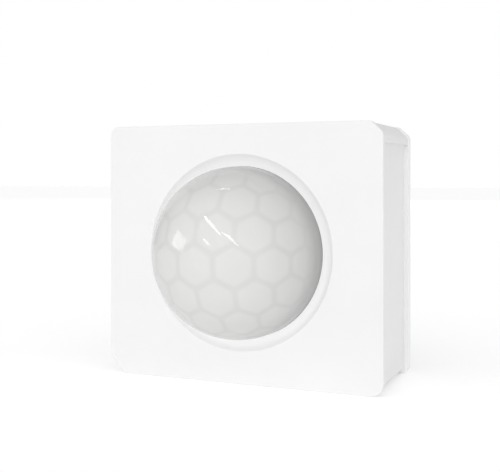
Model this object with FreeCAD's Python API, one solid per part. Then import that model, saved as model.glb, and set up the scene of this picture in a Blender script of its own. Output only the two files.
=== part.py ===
"""Small battery-powered passive-infrared motion sensor, in millimetres.

The case is a shallow box with a faceted dome lens in its front. A groove runs round the side between
the front cover and the rear cover, and two opposite corners are solid blocks with a chamfer.
Frame: +Z up, front face towards -Y, origin under the middle of the object, on the surface it stands on.
Places are given as across (from the middle, to the right), up (from the middle) and back (behind the
front face).
"""
import FreeCAD, Part
import math
import os

# ---- driving dimensions ----
WIDTH = 39.7
HEIGHT = 35.0
DEPTH = 16.15                 # front face to the back of the rear cover
LENS_RADIUS = 11.6            # outside of the dome
LENS_UP = 0.2                 # lens axis above the middle of the face
PAD_THICK = 0.8               # adhesive foam on the back
LINER_THICK = 0.15
CELL_RADIUS = 12.25           # 24.5 mm coin cell
CELL_THICK = 5.0
BOARD_THICK = 1.0

# ---- case ----
LIP = 1.0                     # thickness of the front plate's rim
SKIN = 1.6                    # front plate behind the face
REAR_THICK = 1.4
SEAM = 0.02                   # gap between the front cover and the rear cover
GROOVE = 0.65                 # depth of the groove round the side
WALL = 1.25
BLOCK_INSET = 0.12
UPPER_CHAMFER = (1.6, 1.5)    # across, up
LOWER_CHAMFER = (2.25, 2.65)
UPPER_ROUND = 1.3
LOWER_ROUND = 1.75            # front cover
REAR_LOWER_ROUND = 1.1        # rear cover
CHAMFER_ROUND = 1.0           # at both ends of each chamfer
GROOVE_ROUND = 0.5
BLOCK_REACH = 2.6             # corner block, measured from the corner along each side
BLOCK_RAMP = 0.15             # sloping end of the corner block
EDGE_ROUND = 0.12             # front edge and rear edge of the case
LEDGE_ROUND = 0.05            # edge of the rear cover beside the groove

# ---- places from front to back, measured from the front face ----
DISH_RADIUS = 13.25
DISH_OUTER_SLOPE = 50         # degrees from the face, at the dish's rim and beside the lens
DISH_INNER_SLOPE = 4
LENS_GAP = 0.04
FLANGE_FRONT = 2.9
FLANGE_BACK = 3.7
FLANGE_RADIUS = 14.3
RETAINER_RADIUS = 14.4
COLLAR_INNER = 14.5
COLLAR_OUTER = 15.3
RETAINER_BACK = 4.9
BOARD_FRONT = 5.6
BOARD_BACK = BOARD_FRONT + BOARD_THICK
HOLDER_FLOOR = 0.6
CELL_FRONT = BOARD_BACK + HOLDER_FLOOR + 0.7
CELL_BACK = CELL_FRONT + CELL_THICK
REAR_FRONT = DEPTH - REAR_THICK
RIM_BACK = REAR_FRONT - SEAM

CAVITY_WIDTH = WIDTH - 2 * (GROOVE + WALL)
CAVITY_HEIGHT = HEIGHT - 2 * (GROOVE + WALL)
CAVITY_ROUND = 1.0
BOARD_GAP = 0.25
OVERLAP = 0.2                 # how far the shapes that make up one moulding run into each other

# ---- board fixings and parts ----
SCREW_PLACES = ((-15.2, 12.6), (15.2, -12.6))
BOSS_RADIUS = 2.2
BOSS_HOLE = 0.72
SCREW_RADIUS = 0.7
SCREW_LENGTH = 3.6
SCREW_HEAD_RADIUS = 1.5
SCREW_HEAD = 1.0
BOARD_HOLE = 0.9
LEAD_RADIUS = 0.22
LEAD_CIRCLE = 2.54
LEAD_ANGLES = (0, 120, 240)
CAN_RADIUS = 4.15
CAN_SKIN = 0.25
CAN_FRONT = 1.4
HEADER_RADIUS = 4.6
HEADER_THICK = 0.4
RADIO_PLACE = (14.1, 11.2)
SHIELD_SIDE = 6.4
SHIELD_HIGH = 1.6
SHIELD_SKIN = 0.2
CRYSTAL_PLACE = (15.5, 5.4)
ANTENNA_PLACE = (7.4, 14.2)
RESERVOIR_PLACE = (-14.4, -11.4)
AMPLIFIER_PLACE = (-14.6, -12.2)
LED_PLACE = (0.0, -8.2)
REAR_CAPACITORS = ((-10.4, 13.8), (-8.0, 13.8), (-15.9, -7.6), (8.4, -13.8), (10.8, -13.8))
FRONT_CAPACITORS = ((-7.0, 3.6), (-7.0, 2.0), (14.6, 12.6), (14.6, 10.8))
REAR_RESISTORS = ((-12.6, 9.4), (-12.6, 10.8), (-15.9, 6.4), (-15.9, 8.0), (15.8, -4.6), (15.8, -6.2))
FRONT_RESISTORS = ((7.0, 3.6), (7.0, 2.0), (7.0, -2.6), (-7.0, -2.6), (11.4, -14.2))

# ---- battery holder ----
HOLDER_INNER = CELL_RADIUS + 0.2
HOLDER_OUTER = HOLDER_INNER + 0.95
HOLDER_BACK = 11.2
HOLDER_FLOOR_HOLE = 8.0
LIP_ANGLES = (150, 30)
LIP_CIRCLE = 13.0
LIP_SECTOR = (3.2, 3.2)
LIP_FRONT = CELL_BACK + 0.1
LIP_BACK = CELL_BACK + 0.6
CONTACT_THICK = 0.2

# ---- switches ----
PAIRING_PLACE = (15.6, 0.5)
TAMPER_PLACE = (-15.6, 0.2)
PAIRING_TRAVEL = 0.25
TAMPER_TRAVEL = 0.5
STEM_RADIUS = 0.9
STEM_FLANGE = 1.25
STEM_GAP = 0.08
PAIRING_TIP = 13.6
PAIRING_BODY_BACK = BOARD_BACK + 2.2
TAMPER_BODY_BACK = BOARD_BACK + 3.2
TAMPER_TIP = 10.7

# ---- rear cover ----
SKIRT_GAP = 0.15
SKIRT_THICK = 0.9
SKIRT_FRONT = 12.6
BEAD_FRONT = 13.4
BEAD_BACK = 13.8
BEAD_PROUD = 0.1
BEAD_LENGTH = 8.0
CELL_RIB_SIZE = (1.0, 14.0)
CELL_RIB_PLACES = (-6, 0, 6)
TAMPER_POST_RADIUS = 1.3
BUTTON_GUIDE_RADIUS = 1.8
BUTTON_GUIDE_LENGTH = 0.7
PINHOLE_RADIUS = 0.8
SINK_DEPTH = 0.5
PAD_SIZE = (27.0, 24.0)
PAD_ROUND = 3.0
TAB_SIZE = (7.0, 4.0)         # the liner's pull tab, half of it under the pad
TAB_ROUND = 1.0

TOTAL_DEPTH = LENS_RADIUS + DEPTH + PAD_THICK + LINER_THICK
FACE_Y = LENS_RADIUS - TOTAL_DEPTH / 2
MID_Z = HEIGHT / 2
BACKWARD = FreeCAD.Vector(0, 1, 0)
TINY = 1e-4


def at(across, back, up=0.0):
    """Point in the object's frame."""
    return FreeCAD.Vector(across, FACE_Y + back, MID_Z + up)


def disc(radius, front, back, across=0.0, up=0.0):
    """Solid cylinder along the depth."""
    return Part.makeCylinder(radius, back - front, at(across, front, up), BACKWARD)


def ring(outer, inner, front, back, across=0.0, up=0.0):
    return disc(outer, front, back, across, up).cut(disc(inner, front - 1, back + 1, across, up))


def block(size, front, back, place=(0.0, 0.0), corner=0.0):
    """Box of size (width, height) centred at place (across, up), its corners along the depth rounded."""
    width, height = size
    low = at(place[0] - width / 2, front, place[1] - height / 2)
    box = Part.makeBox(width, back - front, height, low)
    if corner:
        box = box.makeFillet(corner, edges_along_depth(box))
    return box


def edges_along_depth(shape):
    return [e for e in shape.Edges if e.BoundBox.XLength < TINY and e.BoundBox.ZLength < TINY]


def prism(points, front, back):
    """Polygon of (across, up) points carried from front to back."""
    corners = [at(across, front, up) for across, up in points]
    face = Part.Face(Part.makePolygon(corners + corners[:1]))
    return face.extrude(BACKWARD * (back - front))


def turned(profile, up=LENS_UP):
    """Closed profile of (radius, back) points turned round a line along the depth."""
    corners = [at(radius, back, up) for radius, back in profile]
    face = Part.Face(Part.makePolygon(corners + corners[:1]))
    return face.revolve(at(0, 0, up), BACKWARD, 360)


def quarter(centre, radius, start):
    """Arc of a quarter turn, anticlockwise from start degrees as seen from the front."""
    angles = [math.radians(start + step) for step in (0, 45, 90)]
    ends = [centre + FreeCAD.Vector(radius * math.cos(a), 0, radius * math.sin(a)) for a in angles]
    return Part.Arc(*ends).toShape()


def inset_chamfer(chamfer, inset):
    """Length of a chamfer's two legs after the outline moves in by inset."""
    wide, tall = chamfer
    area = wide * tall + inset * (math.hypot(wide, tall) - wide - tall)
    return area / tall, area / wide


def case_outline(inset, front, back, lower_round=LOWER_ROUND):
    """The case's outline, carried from front to back."""
    right = WIDTH / 2 - inset
    top = HEIGHT / 2 - inset
    upper_wide, upper_tall = inset_chamfer(UPPER_CHAMFER, inset)
    lower_wide, lower_tall = inset_chamfer(LOWER_CHAMFER, inset)
    upper = UPPER_ROUND - inset
    lower = lower_round - inset
    upper_right = [at(right, front, top - upper_tall), at(right - upper_wide, front, top)]
    upper_left = quarter(at(-right + upper, front, top - upper), upper, 90)
    lower_left = [at(-right, front, -top + lower_tall), at(-right + lower_wide, front, -top)]
    lower_right = quarter(at(right - lower, front, -top + lower), lower, 270)
    edges = [
        Part.makeLine(*upper_right),
        Part.makeLine(upper_right[1], at(-right + upper, front, top)),
        upper_left,
        Part.makeLine(at(-right, front, top - upper), lower_left[0]),
        Part.makeLine(*lower_left),
        Part.makeLine(lower_left[1], at(right - lower, front, -top)),
        lower_right,
        Part.makeLine(at(right, front, -top + lower), upper_right[0]),
    ]
    solid = Part.Face(Part.Wire(edges)).extrude(BACKWARD * (back - front))
    bends = upper_right + lower_left
    sharp = [e for e in edges_along_depth(solid) if any(passes(e, bend) for bend in bends)]
    return solid.makeFillet(CHAMFER_ROUND - inset, sharp)


def passes(edge, point):
    """Whether an edge along the depth goes through a point, as seen from the front."""
    return math.hypot(edge.BoundBox.XMin - point.x, edge.BoundBox.ZMin - point.z) < TINY


def edges_at(shape, back, reach):
    """Edges lying in one plane across the depth whose middle is at least reach from the lens axis."""
    found = []
    for edge in shape.Edges:
        box = edge.BoundBox
        flat = box.YLength < TINY and abs(box.YMin - FACE_Y - back) < TINY
        if flat and math.hypot(box.XMax, box.ZMax - MID_Z) > reach:
            found.append(edge)
    return found


def joined(first, *others):
    return first.multiFuse(list(others)).removeSplitter()


def without(shape, *cutters):
    for cutter in cutters:
        shape = shape.cut(cutter)
    return shape


# ---- front cover ----
def corner_blocks():
    """Solid corners that fill the groove at the two chamfers, with sloping ends."""
    right = WIDTH / 2
    top = HEIGHT / 2
    margin = 0.5
    reach = BLOCK_REACH - margin * BLOCK_RAMP / GROOVE
    deep = BLOCK_REACH + BLOCK_RAMP
    corner = [
        (right + margin, top + margin),
        (right - reach, top + margin),
        (right - deep, top - GROOVE),
        (right - GROOVE, top - deep),
        (right + margin, top - reach),
    ]
    opposite = [(-across, -up) for across, up in corner]
    return [prism(points, LIP, RIM_BACK) for points in (corner, opposite)]


def dish_arc(bore):
    """Concave arc from the dish's rim down to the bore, as an edge."""
    inner, middle, outer = [math.radians(a) for a in (
        DISH_INNER_SLOPE, (DISH_INNER_SLOPE + DISH_OUTER_SLOPE) / 2, DISH_OUTER_SLOPE)]
    radius = (DISH_RADIUS - bore) / (math.sin(outer) - math.sin(inner))
    points = []
    for slope in (outer, middle, inner):
        out = bore + radius * (math.sin(slope) - math.sin(inner))
        points.append(at(out, radius * (math.cos(slope) - math.cos(outer)), LENS_UP))
    return Part.Arc(*points).toShape(), points[0], points[-1]


def dish():
    """Concave ring cut into the face round the lens, with the lens's bore behind it."""
    bore = LENS_RADIUS + LENS_GAP
    arc, start, end = dish_arc(bore)
    bore_back = at(bore, FLANGE_FRONT + TINY, LENS_UP)
    axis_back = at(0, FLANGE_FRONT + TINY, LENS_UP)
    axis_front = at(0, -1, LENS_UP)
    rim_front = at(DISH_RADIUS, -1, LENS_UP)
    edges = [
        arc,
        Part.makeLine(end, bore_back),
        Part.makeLine(bore_back, axis_back),
        Part.makeLine(axis_back, axis_front),
        Part.makeLine(axis_front, rim_front),
        Part.makeLine(rim_front, start),
    ]
    return Part.Face(Part.Wire(edges)).revolve(at(0, 0, LENS_UP), BACKWARD, 360)


def board_bosses():
    """Posts that take the board's screws, tied to the side walls by thin ribs."""
    rib_thick = 0.9
    pieces = []
    for across, up in SCREW_PLACES:
        side = math.copysign(1, across)
        post = disc(BOSS_RADIUS, SKIN - OVERLAP, BOARD_FRONT, across, up)
        rib_width = CAVITY_WIDTH / 2 - abs(across) + OVERLAP
        middle = (across + side * rib_width / 2, up)
        rib = block((rib_width, rib_thick), SKIN - OVERLAP, BOARD_FRONT - 0.6, middle)
        pieces += [post, rib]
    return pieces


def board_ledges():
    """Short ribs on the top and bottom walls that the board rests on."""
    size = (2.0, 1.6)
    up = CAVITY_HEIGHT / 2 - 0.7
    return [block(size, SKIN - OVERLAP, BOARD_FRONT, place) for place in ((9.6, up), (-9.6, -up))]


def bead_grooves():
    """Grooves in the walls that the rear cover's snap beads drop into."""
    deep = 0.25
    tall = (BEAD_LENGTH + 1, CAVITY_HEIGHT + 2 * deep)
    wide = (CAVITY_WIDTH + 2 * deep, BEAD_LENGTH + 1)
    return [block(size, BEAD_FRONT - 0.1, BEAD_BACK + 0.1) for size in (tall, wide)]


def front_cover():
    plate = case_outline(0, 0, LIP)
    plate = plate.makeFillet(EDGE_ROUND, edges_at(plate, 0, 0))
    inner = block((WIDTH - 2 * GROOVE, HEIGHT - 2 * GROOVE), LIP, RIM_BACK, corner=GROOVE_ROUND)
    body = joined(inner, *corner_blocks()).common(case_outline(BLOCK_INSET, LIP, RIM_BACK))
    shell = joined(plate, body)
    cavity = block((CAVITY_WIDTH, CAVITY_HEIGHT), SKIN, RIM_BACK + 1, corner=CAVITY_ROUND)
    collar = disc(COLLAR_OUTER, SKIN - OVERLAP, RETAINER_BACK, up=LENS_UP)
    shell = joined(shell.cut(cavity), collar, *board_bosses(), *board_ledges())
    pocket = disc(COLLAR_INNER, FLANGE_FRONT, BOARD_FRONT, up=LENS_UP)
    pilots = [disc(BOSS_HOLE, SKIN + 0.6, BOARD_FRONT + 1, *place) for place in SCREW_PLACES]
    return without(shell, dish(), pocket, *bead_grooves(), *pilots)


# ---- lens ----
def fresnel_lens():
    """Thin dome on a short tube with a flange, centred on the front face."""
    thick = 0.6
    dome = Part.makeSphere(LENS_RADIUS, at(0, 0, LENS_UP))
    hollow = Part.makeSphere(LENS_RADIUS - thick, at(0, 0, LENS_UP))
    front_half = block((WIDTH, HEIGHT), -LENS_RADIUS - 1, 0)
    shell = dome.common(front_half).cut(hollow)
    tube = ring(LENS_RADIUS, LENS_RADIUS - thick, 0, FLANGE_BACK, up=LENS_UP)
    flange = ring(FLANGE_RADIUS, LENS_RADIUS - thick, FLANGE_FRONT, FLANGE_BACK, up=LENS_UP)
    return joined(shell, tube, flange)


def lens_retainer():
    """Ring pressed against the lens flange by the board, which also keeps stray light out."""
    inner = 10.6
    wall = 11.6
    profile = [
        (inner, FLANGE_BACK),
        (RETAINER_RADIUS, FLANGE_BACK),
        (RETAINER_RADIUS, RETAINER_BACK),
        (wall, RETAINER_BACK),
        (wall, BOARD_FRONT),
        (inner, BOARD_FRONT),
    ]
    return turned(profile)


# ---- circuit board and what is soldered to it ----
def lead_places():
    angles = [math.radians(a + 30) for a in LEAD_ANGLES]
    return [(LEAD_CIRCLE * math.cos(a), LENS_UP + LEAD_CIRCLE * math.sin(a)) for a in angles]


def circuit_board():
    size = (CAVITY_WIDTH - 2 * BOARD_GAP, CAVITY_HEIGHT - 2 * BOARD_GAP)
    board = block(size, BOARD_FRONT, BOARD_BACK, corner=CAVITY_ROUND)
    screw_holes = [disc(BOARD_HOLE, BOARD_FRONT - 1, BOARD_BACK + 1, *place) for place in SCREW_PLACES]
    lead_holes = [disc(0.32, BOARD_FRONT - 1, BOARD_BACK + 1, *place) for place in lead_places()]
    return without(board, *screw_holes, *lead_holes)


def board_screws():
    """Two small pan-head screws with a cross recess."""
    screws = []
    for place in SCREW_PLACES:
        shank = disc(SCREW_RADIUS, BOARD_BACK - SCREW_LENGTH, BOARD_BACK, *place)
        head = disc(SCREW_HEAD_RADIUS, BOARD_BACK, BOARD_BACK + SCREW_HEAD, *place)
        rim = [e for e in head.Edges if abs(e.BoundBox.YMin - FACE_Y - BOARD_BACK - SCREW_HEAD) < TINY]
        head = head.makeFillet(0.35, rim)
        slots = [block(size, BOARD_BACK + 0.45, BOARD_BACK + 2, place) for size in ((1.8, 0.4), (0.4, 1.8))]
        screws.append(without(joined(shank, head), *slots))
    return screws


def pir_header():
    plate = disc(HEADER_RADIUS, BOARD_FRONT - HEADER_THICK, BOARD_FRONT, up=LENS_UP)
    return without(plate, *[disc(LEAD_RADIUS + 0.05, 0, DEPTH, *place) for place in lead_places()])


def pir_leads():
    return [disc(LEAD_RADIUS, 3.6, BOARD_BACK + 0.5, *place) for place in lead_places()]


def pir_can():
    """Metal cap with a rectangular opening in its end."""
    back = BOARD_FRONT - HEADER_THICK
    cap = disc(CAN_RADIUS, CAN_FRONT, back, up=LENS_UP)
    rim = [e for e in cap.Edges if abs(e.BoundBox.YMax - FACE_Y - CAN_FRONT) < TINY]
    cap = cap.makeFillet(0.3, rim)
    hollow = disc(CAN_RADIUS - CAN_SKIN, CAN_FRONT + CAN_SKIN, back, up=LENS_UP)
    opening = block((4.0, 3.0), CAN_FRONT - 1, CAN_FRONT + 1, (0, LENS_UP))
    return without(cap, hollow, opening)


def pir_window():
    return block((4.8, 3.8), CAN_FRONT + CAN_SKIN, CAN_FRONT + CAN_SKIN + 0.4, (0, LENS_UP))


def pir_element():
    """Ceramic plate with the sensing strips, carried on the ends of the leads."""
    return block((6.0, 5.2), 3.1, 3.6, (0, LENS_UP), 0.4)


def radio_shield():
    inner = SHIELD_SIDE - 2 * SHIELD_SKIN
    inner_back = BOARD_BACK + SHIELD_HIGH - SHIELD_SKIN
    can = block((SHIELD_SIDE, SHIELD_SIDE), BOARD_BACK, BOARD_BACK + SHIELD_HIGH, RADIO_PLACE, 0.4)
    return can.cut(block((inner, inner), BOARD_BACK, inner_back, RADIO_PLACE, 0.3))


def radio_chip():
    return block((4.0, 4.0), BOARD_BACK, BOARD_BACK + 0.85, RADIO_PLACE)


def crystal():
    return block((2.5, 2.0), BOARD_BACK, BOARD_BACK + 0.6, CRYSTAL_PLACE, 0.2)


def chip_antenna():
    return block((3.2, 1.6), BOARD_BACK, BOARD_BACK + 0.9, ANTENNA_PLACE)


def reservoir_capacitor():
    return block((3.5, 2.8), BOARD_BACK, BOARD_BACK + 1.9, RESERVOIR_PLACE)


def pir_amplifier():
    """Eight-legged chip on the front of the board."""
    middle, height = AMPLIFIER_PLACE
    body = block((3.9, 4.9), BOARD_FRONT - 1.6, BOARD_FRONT - 0.2, AMPLIFIER_PLACE)
    legs = []
    for row in range(4):
        up = height + 1.27 * (row - 1.5)
        for side in (-1, 1):
            shoulder = block((0.5, 0.4), BOARD_FRONT - 0.9, BOARD_FRONT, (middle + side * 2.2, up))
            foot = block((0.6, 0.4), BOARD_FRONT - 0.2, BOARD_FRONT, (middle + side * 2.7, up))
            legs.append(joined(shoulder, foot))
    return [body] + legs


def status_led():
    base = block((2.0, 1.2), BOARD_FRONT - 0.4, BOARD_FRONT, LED_PLACE)
    dome = block((1.2, 1.1), BOARD_FRONT - 1.0, BOARD_FRONT - 0.4, LED_PLACE, 0.3)
    return joined(base, dome)


def chips(rear_places, front_places, thick):
    """Identical two-terminal chips, 1.6 mm long, on both faces of the board."""
    size = (1.6, 0.8)
    rear = [block(size, BOARD_BACK, BOARD_BACK + thick, place) for place in rear_places]
    front = [block(size, BOARD_FRONT - thick, BOARD_FRONT, place) for place in front_places]
    return rear + front


# ---- switches ----
def switch_body(size, back, place, travel):
    """Box open at the back for its plunger, with room for the plunger's flange to travel."""
    body = block(size, BOARD_BACK, back, place, 0.3)
    guide = disc(STEM_RADIUS + STEM_GAP, back - 1, back + 1, *place)
    chamber = disc(STEM_FLANGE + 0.15, back - 1.35 - travel, back - 0.4, *place)
    return without(body, guide, chamber)


def plunger(back_of_body, tip, place, lift):
    """Stem with a flange that stops it inside its switch body; lift is how far the flange sits down."""
    flange_back = back_of_body - 0.45 - lift
    flange = disc(STEM_FLANGE, flange_back - 0.6, flange_back, *place)
    stem = disc(STEM_RADIUS, flange_back - TINY, tip, *place)
    rim = [e for e in stem.Edges if abs(e.BoundBox.YMin - FACE_Y - tip) < TINY]
    return joined(stem.makeFillet(0.2, rim), flange)


def pairing_switch():
    return switch_body((3.6, 4.6), PAIRING_BODY_BACK, PAIRING_PLACE, PAIRING_TRAVEL)


def pairing_button():
    return plunger(PAIRING_BODY_BACK, PAIRING_TIP, PAIRING_PLACE, 0)


def tamper_switch():
    return switch_body((3.4, 5.6), TAMPER_BODY_BACK, TAMPER_PLACE, TAMPER_TRAVEL)


def tamper_plunger():
    return plunger(TAMPER_BODY_BACK, TAMPER_TIP, TAMPER_PLACE, TAMPER_TRAVEL)


# ---- battery and its holder ----
def battery_holder():
    """Round cradle on the back of the board with two lips over the cell's edge."""
    wall = ring(HOLDER_OUTER, HOLDER_INNER, BOARD_BACK, HOLDER_BACK)
    floor = ring(HOLDER_OUTER, HOLDER_FLOOR_HOLE, BOARD_BACK, BOARD_BACK + HOLDER_FLOOR)
    thumb_gap = block((13, 8), BOARD_BACK + HOLDER_FLOOR, DEPTH, (0, -HOLDER_OUTER))
    contact_gap = block((6, 4), BOARD_BACK, DEPTH, (0, HOLDER_OUTER))
    cradle = without(joined(wall, floor), thumb_gap, contact_gap)
    lips = []
    for angle in LIP_ANGLES:
        across = LIP_CIRCLE * math.cos(math.radians(angle))
        up = LIP_CIRCLE * math.sin(math.radians(angle))
        sector = block(LIP_SECTOR, HOLDER_BACK - 0.1, LIP_BACK, (across, up))
        post = ring(HOLDER_OUTER, HOLDER_INNER, HOLDER_BACK - 0.1, LIP_BACK).common(sector)
        lip = ring(HOLDER_OUTER, CELL_RADIUS - 0.5, LIP_FRONT, LIP_BACK).common(sector)
        lips += [post, lip]
    return joined(cradle, *lips)


def negative_contact():
    """Sprung leaf under the cell: a foot on the board and a tongue that rises to the cell's cap."""
    high = CELL_FRONT
    low = BOARD_BACK + CONTACT_THICK
    side = [(-5.6, low), (-3.4, low), (1.4, high), (3.4, high), (4.2, high - 0.5)]
    under = [(across, back - CONTACT_THICK) for across, back in reversed(side)]
    corners = [at(across, back, -5.4) for across, back in side + under]
    face = Part.Face(Part.makePolygon(corners + corners[:1]))
    return face.extrude(FreeCAD.Vector(0, 0, 2.6))


def positive_contact():
    """Bowed spring at the cell's edge, standing in the holder's gap."""
    touch = CELL_RADIUS + 0.03
    side = [(14.6, BOARD_BACK), (12.9, BOARD_BACK), (12.9, 8.6), (touch, 9.8), (touch, 10.8), (12.9, 12.0)]
    outer = [
        (13.1, 12.0),
        (touch + 0.2, 10.88),
        (touch + 0.2, 9.72),
        (13.1, 8.52),
        (13.1, BOARD_BACK + CONTACT_THICK),
        (14.6, BOARD_BACK + CONTACT_THICK),
    ]
    corners = [at(-2.0, back, up) for up, back in side + outer]
    face = Part.Face(Part.makePolygon(corners + corners[:1]))
    return face.extrude(FreeCAD.Vector(4.0, 0, 0))


def coin_cell_can():
    """Positive cup, its flat end towards the rear cover."""
    cup = disc(CELL_RADIUS, CELL_FRONT + 0.5, CELL_BACK)
    rim = [e for e in cup.Edges if abs(e.BoundBox.YMin - FACE_Y - CELL_BACK) < TINY]
    cup = cup.makeFillet(0.5, rim)
    return cup.cut(disc(CELL_RADIUS - 0.4, CELL_FRONT, CELL_BACK - 0.35))


def coin_cell_seal():
    return ring(CELL_RADIUS - 0.45, CELL_RADIUS - 0.95, CELL_FRONT + 0.35, CELL_FRONT + 1.3)


def coin_cell_cap():
    """Negative cap, towards the board."""
    return disc(CELL_RADIUS - 1.0, CELL_FRONT, CELL_FRONT + 0.35)


def coin_cell_core():
    return disc(CELL_RADIUS - 1.0, CELL_FRONT + 0.4, CELL_BACK - 0.4)


# ---- rear cover and what is on it ----
def snap_beads():
    """Low ridges on the skirt, two on each pair of sides."""
    width = CAVITY_WIDTH - 2 * SKIRT_GAP
    height = CAVITY_HEIGHT - 2 * SKIRT_GAP
    sizes = ((BEAD_LENGTH, height + 2 * BEAD_PROUD), (width + 2 * BEAD_PROUD, BEAD_LENGTH))
    inside = block((width - 1, height - 1), BEAD_FRONT - 1, BEAD_BACK + 1)
    return [block(size, BEAD_FRONT, BEAD_BACK).cut(inside) for size in sizes]


def rear_cover():
    plate = case_outline(0, REAR_FRONT, DEPTH, REAR_LOWER_ROUND)
    plate = plate.makeFillet(EDGE_ROUND, edges_at(plate, DEPTH, 0))
    plate = plate.makeFillet(LEDGE_ROUND, edges_at(plate, REAR_FRONT, 0))
    outer = (CAVITY_WIDTH - 2 * SKIRT_GAP, CAVITY_HEIGHT - 2 * SKIRT_GAP)
    inner = (outer[0] - 2 * SKIRT_THICK, outer[1] - 2 * SKIRT_THICK)
    skirt = block(outer, SKIRT_FRONT, REAR_FRONT + OVERLAP, corner=CAVITY_ROUND)
    skirt = skirt.cut(block(inner, SKIRT_FRONT - 1, REAR_FRONT + OVERLAP, corner=0.4))
    back = REAR_FRONT + OVERLAP
    cell_ribs = [block(CELL_RIB_SIZE, CELL_BACK + 0.1, back, (across, 0)) for across in CELL_RIB_PLACES]
    post = disc(TAMPER_POST_RADIUS, TAMPER_TIP + 0.02, back, *TAMPER_PLACE)
    guide = disc(BUTTON_GUIDE_RADIUS, REAR_FRONT - BUTTON_GUIDE_LENGTH, back, *PAIRING_PLACE)
    cover = joined(plate, skirt, post, guide, *cell_ribs, *snap_beads())
    pinhole = disc(PINHOLE_RADIUS, 0, DEPTH + 1, *PAIRING_PLACE)
    sink_front = at(PAIRING_PLACE[0], DEPTH - SINK_DEPTH, PAIRING_PLACE[1])
    sink_radius = PINHOLE_RADIUS + SINK_DEPTH
    countersink = Part.makeCone(PINHOLE_RADIUS, sink_radius, SINK_DEPTH, sink_front, BACKWARD)
    return without(cover, pinhole, countersink)


def adhesive_pad():
    return block(PAD_SIZE, DEPTH, DEPTH + PAD_THICK, corner=PAD_ROUND)


def release_liner():
    """Paper over the adhesive, with a pull tab past the pad's lower edge."""
    front = DEPTH + PAD_THICK
    back = front + LINER_THICK
    sheet = block(PAD_SIZE, front, back, corner=PAD_ROUND)
    tab = block(TAB_SIZE, front, back, (0, -PAD_SIZE[1] / 2), TAB_ROUND)
    return joined(sheet, tab)


PARTS = {
    "front_cover": front_cover,
    "fresnel_lens": fresnel_lens,
    "lens_retainer": lens_retainer,
    "board_screws": board_screws,
    "circuit_board": circuit_board,
    "pir_header": pir_header,
    "pir_leads": pir_leads,
    "pir_can": pir_can,
    "pir_window": pir_window,
    "pir_element": pir_element,
    "pir_amplifier": pir_amplifier,
    "radio_shield": radio_shield,
    "radio_chip": radio_chip,
    "crystal": crystal,
    "chip_antenna": chip_antenna,
    "reservoir_capacitor": reservoir_capacitor,
    "chip_capacitors": lambda: chips(REAR_CAPACITORS, FRONT_CAPACITORS, 0.8),
    "chip_resistors": lambda: chips(REAR_RESISTORS, FRONT_RESISTORS, 0.45),
    "status_led": status_led,
    "pairing_switch": pairing_switch,
    "pairing_button": pairing_button,
    "tamper_switch": tamper_switch,
    "tamper_plunger": tamper_plunger,
    "battery_holder": battery_holder,
    "positive_contact": positive_contact,
    "negative_contact": negative_contact,
    "coin_cell_can": coin_cell_can,
    "coin_cell_seal": coin_cell_seal,
    "coin_cell_cap": coin_cell_cap,
    "coin_cell_core": coin_cell_core,
    "rear_cover": rear_cover,
    "adhesive_pad": adhesive_pad,
    "release_liner": release_liner,
}

os.makedirs("parts", exist_ok=True)
for name, make in PARTS.items():
    made = make()
    shape = Part.makeCompound(made) if isinstance(made, list) else made
    shape.exportStep(f"parts/{name}.step")
    print(name, "solids", len(shape.Solids), "valid", shape.isValid(), "mm3", round(shape.Volume, 2))
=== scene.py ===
"""Looks of a small white motion sensor: materials, the faceted lens, and the detail of what is inside."""
import math

import bmesh
import bpy
import numpy as np
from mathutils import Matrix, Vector


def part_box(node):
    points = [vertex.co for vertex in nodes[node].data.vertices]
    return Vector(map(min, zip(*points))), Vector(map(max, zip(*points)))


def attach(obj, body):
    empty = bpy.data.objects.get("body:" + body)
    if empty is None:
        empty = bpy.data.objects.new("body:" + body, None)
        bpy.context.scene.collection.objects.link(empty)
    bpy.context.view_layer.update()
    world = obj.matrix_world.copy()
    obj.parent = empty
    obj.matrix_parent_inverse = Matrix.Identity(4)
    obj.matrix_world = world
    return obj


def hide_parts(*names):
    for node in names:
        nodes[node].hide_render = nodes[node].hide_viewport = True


MM = 0.001
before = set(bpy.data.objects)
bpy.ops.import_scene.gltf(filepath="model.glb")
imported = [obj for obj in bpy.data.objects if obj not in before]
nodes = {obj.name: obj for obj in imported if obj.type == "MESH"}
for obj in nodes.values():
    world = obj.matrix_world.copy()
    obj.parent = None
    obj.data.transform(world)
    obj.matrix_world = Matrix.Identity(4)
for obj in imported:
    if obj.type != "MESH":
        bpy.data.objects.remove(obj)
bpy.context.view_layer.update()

# ---- places read from the frame ----
cover_low, cover_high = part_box("front_cover")
lens_low, lens_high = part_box("fresnel_lens")
board_low, board_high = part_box("circuit_board")
pad_low, pad_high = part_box("adhesive_pad")
liner_low, liner_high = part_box("release_liner")
cell_low, cell_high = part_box("coin_cell_can")
FACE_Y = cover_low.y
MIDDLE_Z = (cover_low.z + cover_high.z) / 2
LENS_RADIUS = FACE_Y - lens_low.y
LENS_CENTRE = Vector((0, FACE_Y, (lens_low.z + lens_high.z) / 2))


# ---- camera, floor and light ----
CAMERA_TURN = math.radians(22.52)       # round the object, towards its right side
CAMERA_RIGHT = 46.26 * MM
CAMERA_FRONT = 107.40 * MM              # in front of the face
CAMERA_UP = 9.93 * MM                   # above the middle of the face
FRAME_SHAPE = 472 / 500                 # height over width
FOCAL = 1.7414                          # focal length over the frame's width
HORIZON = 0.3602                        # horizon's place below the frame's top, over its width
SENSOR = 36.0
GLINT_FAR = 0.6                         # from the lens to the lamps that only reflect
FLOOR_GLOW = 0.20                       # lightens the shadows on the floor


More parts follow.
